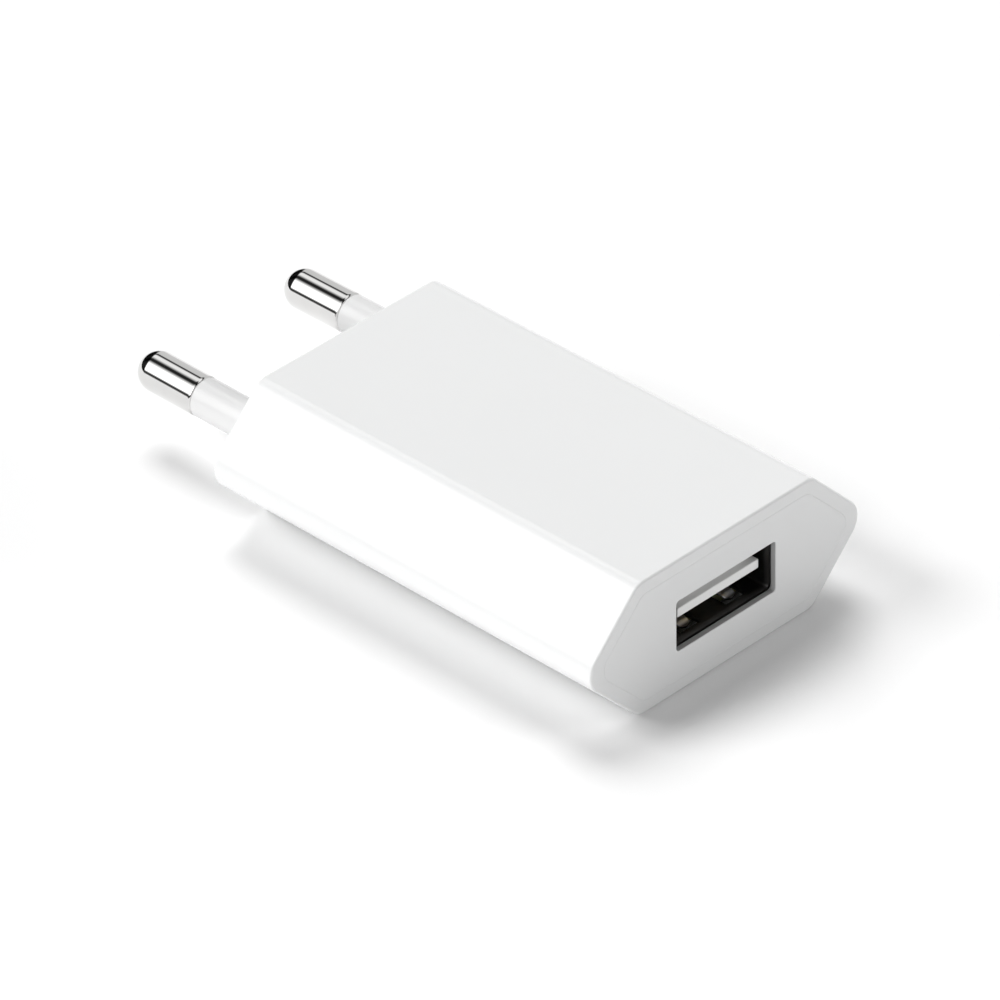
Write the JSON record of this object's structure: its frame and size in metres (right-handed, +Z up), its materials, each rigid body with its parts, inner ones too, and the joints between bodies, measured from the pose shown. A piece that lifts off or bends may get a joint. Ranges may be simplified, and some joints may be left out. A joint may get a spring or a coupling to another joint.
{
  "type": "usb wall charger",
  "caption": "Slim white wall charger with a long six-sided body, a USB-A port in one end and two round sleeved mains pins in the other.",
  "frame": {"origin": "middle of the bottom face of the whole charger, pins included, on the surface that it lies on", "axes": "X across the charger, +Y from the USB port towards the mains pins, +Z up from the flat bottom"},
  "size_m": [0.0346, 0.0644, 0.0142],
  "materials": {
    "white_casing": "high gloss white moulding",
    "white_cover": "satin white moulding",
    "white_sleeve": "semi-gloss white overmould",
    "white_insulator": "satin white moulding",
    "bright_nickel": "bright nickel plate on brass",
    "spring_bronze": "rolled bronze strip",
    "shell_steel": "nickel-plated steel sheet",
    "gold_contact": "gold flash on bronze",
    "board_laminate": "green solder mask",
    "ferrite": "matt sintered ferrite",
    "bobbin_resin": "black moulding",
    "taped_winding": "copper winding under yellow tape",
    "core_tape": "yellow polyester tape",
    "tinned_wire": "tinned wire",
    "can_film": "black shrink film over an aluminium can",
    "resistor_lacquer": "grey-green lacquer",
    "blue_resin": "dipped blue resin",
    "black_resin": "moulded black resin",
    "chip_ceramic": "beige ceramic"
  },
  "bodies": {
    "charger": {"main_casing": "white_casing", "front_cover": "white_cover", "usb_shell": "shell_steel", "usb_insulator": "white_insulator", "usb_contact_terminal_1": "gold_contact", "usb_contact_terminal_2": "gold_contact", "usb_contact_terminal_3": "gold_contact", "usb_contact_terminal_4": "gold_contact", "pin_left": "bright_nickel", "pin_right": "bright_nickel", "pin_sleeve_left": "white_sleeve", "pin_sleeve_right": "white_sleeve", "pin_spring_left": "spring_bronze", "pin_spring_right": "spring_bronze", "circuit_board": "board_laminate", "transformer_core_front": "ferrite", "transformer_core_rear": "ferrite", "transformer_bobbin": "bobbin_resin", "transformer_winding": "taped_winding", "transformer_core_tape": "core_tape", "transformer_pin_1": "tinned_wire", "transformer_pin_2": "tinned_wire", "transformer_pin_3": "tinned_wire", "transformer_pin_4": "tinned_wire", "transformer_pin_5": "tinned_wire", "transformer_pin_6": "tinned_wire", "input_capacitor_1": "can_film", "input_capacitor_2": "can_film", "output_capacitor_1": "can_film", "output_capacitor_2": "can_film", "fusible_resistor": "resistor_lacquer", "safety_capacitor": "blue_resin", "optocoupler": "black_resin", "controller_chip": "black_resin", "bridge_rectifier": "black_resin", "schottky_diode": "black_resin", "chip_resistor_1": "black_resin", "chip_resistor_2": "black_resin", "chip_resistor_3": "black_resin", "chip_resistor_4": "black_resin", "chip_resistor_5": "black_resin", "chip_resistor_6": "black_resin", "chip_capacitor_1": "chip_ceramic", "chip_capacitor_2": "chip_ceramic", "chip_capacitor_3": "chip_ceramic", "chip_capacitor_4": "chip_ceramic"},
    "contact_blade_1": {"usb_contact_blade_1": "gold_contact"},
    "contact_blade_2": {"usb_contact_blade_2": "gold_contact"},
    "contact_blade_3": {"usb_contact_blade_3": "gold_contact"},
    "contact_blade_4": {"usb_contact_blade_4": "gold_contact"}
  },
  "joints": [
    {"name": "contact_flex_1", "type": "hinge", "parent": "charger", "child": "contact_blade_1", "pos_m": [-0.0035, -0.0218, 0.00752], "axis": [-1, 0, 0], "range_deg": [0, 3.5], "stiffness_Nm_per_rad": 0.1},
    {"name": "contact_flex_2", "type": "hinge", "parent": "charger", "child": "contact_blade_2", "pos_m": [-0.001, -0.0218, 0.00752], "axis": [-1, 0, 0], "range_deg": [0, 3.5], "stiffness_Nm_per_rad": 0.1},
    {"name": "contact_flex_3", "type": "hinge", "parent": "charger", "child": "contact_blade_3", "pos_m": [0.001, -0.0218, 0.00752], "axis": [-1, 0, 0], "range_deg": [0, 3.5], "stiffness_Nm_per_rad": 0.1},
    {"name": "contact_flex_4", "type": "hinge", "parent": "charger", "child": "contact_blade_4", "pos_m": [0.0035, -0.0218, 0.00752], "axis": [-1, 0, 0], "range_deg": [0, 3.5], "stiffness_Nm_per_rad": 0.1}
  ]
}
